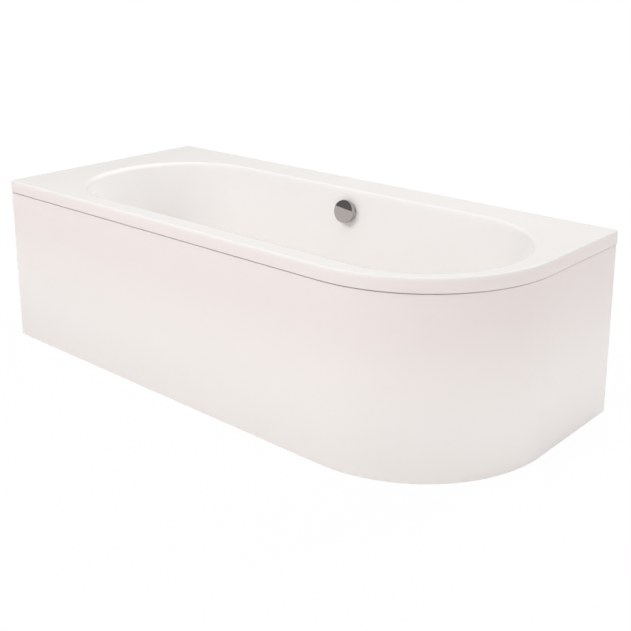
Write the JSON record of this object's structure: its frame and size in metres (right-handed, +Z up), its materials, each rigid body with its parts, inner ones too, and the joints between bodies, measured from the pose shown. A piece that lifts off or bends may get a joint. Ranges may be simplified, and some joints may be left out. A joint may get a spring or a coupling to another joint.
{
  "type": "corner bathtub",
  "caption": "Double-ended acrylic bath for a corner, with one large curved corner, a wrap-round pull-off panel, levelling feet, a rotary pop-up waste and a running trap.",
  "frame": {"origin": "on the floor, under the middle of the bath's length and width", "axes": "+X along the length to the curved right end, +Y to the back wall, +Z up"},
  "size_m": [1.7, 0.75, 0.52],
  "materials": {
    "white_acrylic": "warm white high gloss sanitary acrylic",
    "coated_board": "chipboard sealed with resin and glass fibre",
    "softwood": "planed softwood",
    "black_plastic": "moulded black plastic",
    "zinc_steel": "bright zinc plated steel",
    "galvanised_steel": "galvanised steel sheet",
    "spring_steel": "spring steel strip",
    "magnet": "sintered magnet",
    "rubber_seal": "black rubber",
    "foam_seal": "white foam washer",
    "chrome": "polished chrome plate",
    "brass": "turned brass",
    "white_plastic": "moulded white polypropylene",
    "grey_plastic": "moulded grey polypropylene",
    "grey_hose": "corrugated grey polypropylene",
    "black_sleeve": "black cable sleeve"
  },
  "bodies": {
    "bath": {"bath_shell": "white_acrylic", "base_board": "coated_board", "front_rim_batten": "softwood", "back_rim_batten": "softwood", "left_rim_batten": "softwood", "right_rim_batten": "softwood", "foot_lock_nuts": "zinc_steel", "cradle_screws": "zinc_steel", "rim_screws": "zinc_steel", "panel_arm_screws": "zinc_steel", "left_cradle_rail": "galvanised_steel", "right_cradle_rail": "galvanised_steel", "centre_foot_bracket": "galvanised_steel", "back_left_wall_bracket": "galvanised_steel", "back_right_wall_bracket": "galvanised_steel", "left_wall_bracket": "galvanised_steel", "left_panel_arm": "galvanised_steel", "right_panel_arm": "galvanised_steel", "panel_clips": "spring_steel", "panel_magnets": "magnet", "waste_lower_seal": "rubber_seal", "overflow_seal": "rubber_seal", "trap_inlet_washer": "rubber_seal", "trap_outlet_washer": "rubber_seal", "waste_upper_seal": "foam_seal", "waste_flange": "chrome", "overflow_faceplate": "chrome", "waste_body": "white_plastic", "overflow_body": "white_plastic", "trap_body": "white_plastic", "trap_inlet_nut": "grey_plastic", "trap_outlet_nut": "grey_plastic", "trap_cleaning_cap": "grey_plastic", "hose_upper_nut": "grey_plastic", "hose_lower_nut": "grey_plastic", "overflow_hose": "grey_hose", "control_cable": "black_sleeve"},
    "overflow_knob": {"overflow_knob": "chrome", "knob_spindle": "brass", "cable_drum": "white_plastic"},
    "waste_plug": {"waste_plug": "chrome", "plug_seal": "rubber_seal", "plug_stem": "brass"},
    "plug_lifter": {"plug_lifter": "white_plastic"},
    "panel": {"bath_panel": "white_acrylic", "panel_keepers": "zinc_steel"},
    "front_left_foot": {"front_left_foot_pad": "black_plastic", "front_left_foot_stud": "zinc_steel"},
    "back_left_foot": {"back_left_foot_pad": "black_plastic", "back_left_foot_stud": "zinc_steel"},
    "front_right_foot": {"front_right_foot_pad": "black_plastic", "front_right_foot_stud": "zinc_steel"},
    "back_right_foot": {"back_right_foot_pad": "black_plastic", "back_right_foot_stud": "zinc_steel"},
    "centre_foot": {"centre_foot_pad": "black_plastic", "centre_foot_stud": "zinc_steel"}
  },
  "joints": [
    {"name": "knob_turn", "type": "hinge", "parent": "bath", "child": "overflow_knob", "pos_m": [0.036, 0.23555, 0.454], "axis": [0, -0.9877, 0.1564], "range_deg": [0, 90]},
    {"name": "plug_lift", "type": "slide", "parent": "bath", "child": "waste_plug", "axis": [0, 0, 1], "range_m": [0, 0.01]},
    {"name": "lifter_rise", "type": "slide", "parent": "bath", "child": "plug_lifter", "axis": [0, 0, 1], "range_m": [0, 0.01]},
    {"name": "panel_pull", "type": "slide", "parent": "bath", "child": "panel", "axis": [0, -1, 0], "range_m": [0, 0.12]},
    {"name": "front_left_foot_screw", "type": "slide", "parent": "bath", "child": "front_left_foot", "axis": [0, 0, -1], "range_m": [-0.01, 0.025]},
    {"name": "back_left_foot_screw", "type": "slide", "parent": "bath", "child": "back_left_foot", "axis": [0, 0, -1], "range_m": [-0.01, 0.025]},
    {"name": "front_right_foot_screw", "type": "slide", "parent": "bath", "child": "front_right_foot", "axis": [0, 0, -1], "range_m": [-0.01, 0.025]},
    {"name": "back_right_foot_screw", "type": "slide", "parent": "bath", "child": "back_right_foot", "axis": [0, 0, -1], "range_m": [-0.01, 0.025]},
    {"name": "centre_foot_screw", "type": "slide", "parent": "bath", "child": "centre_foot", "axis": [0, 0, -1], "range_m": [-0.008, 0.025]}
  ],
  "couplings": [
    {"joint": "plug_lift", "follows": "knob_turn", "m_per_rad": 0.0063662},
    {"joint": "lifter_rise", "follows": "knob_turn", "m_per_rad": 0.0063662}
  ]
}
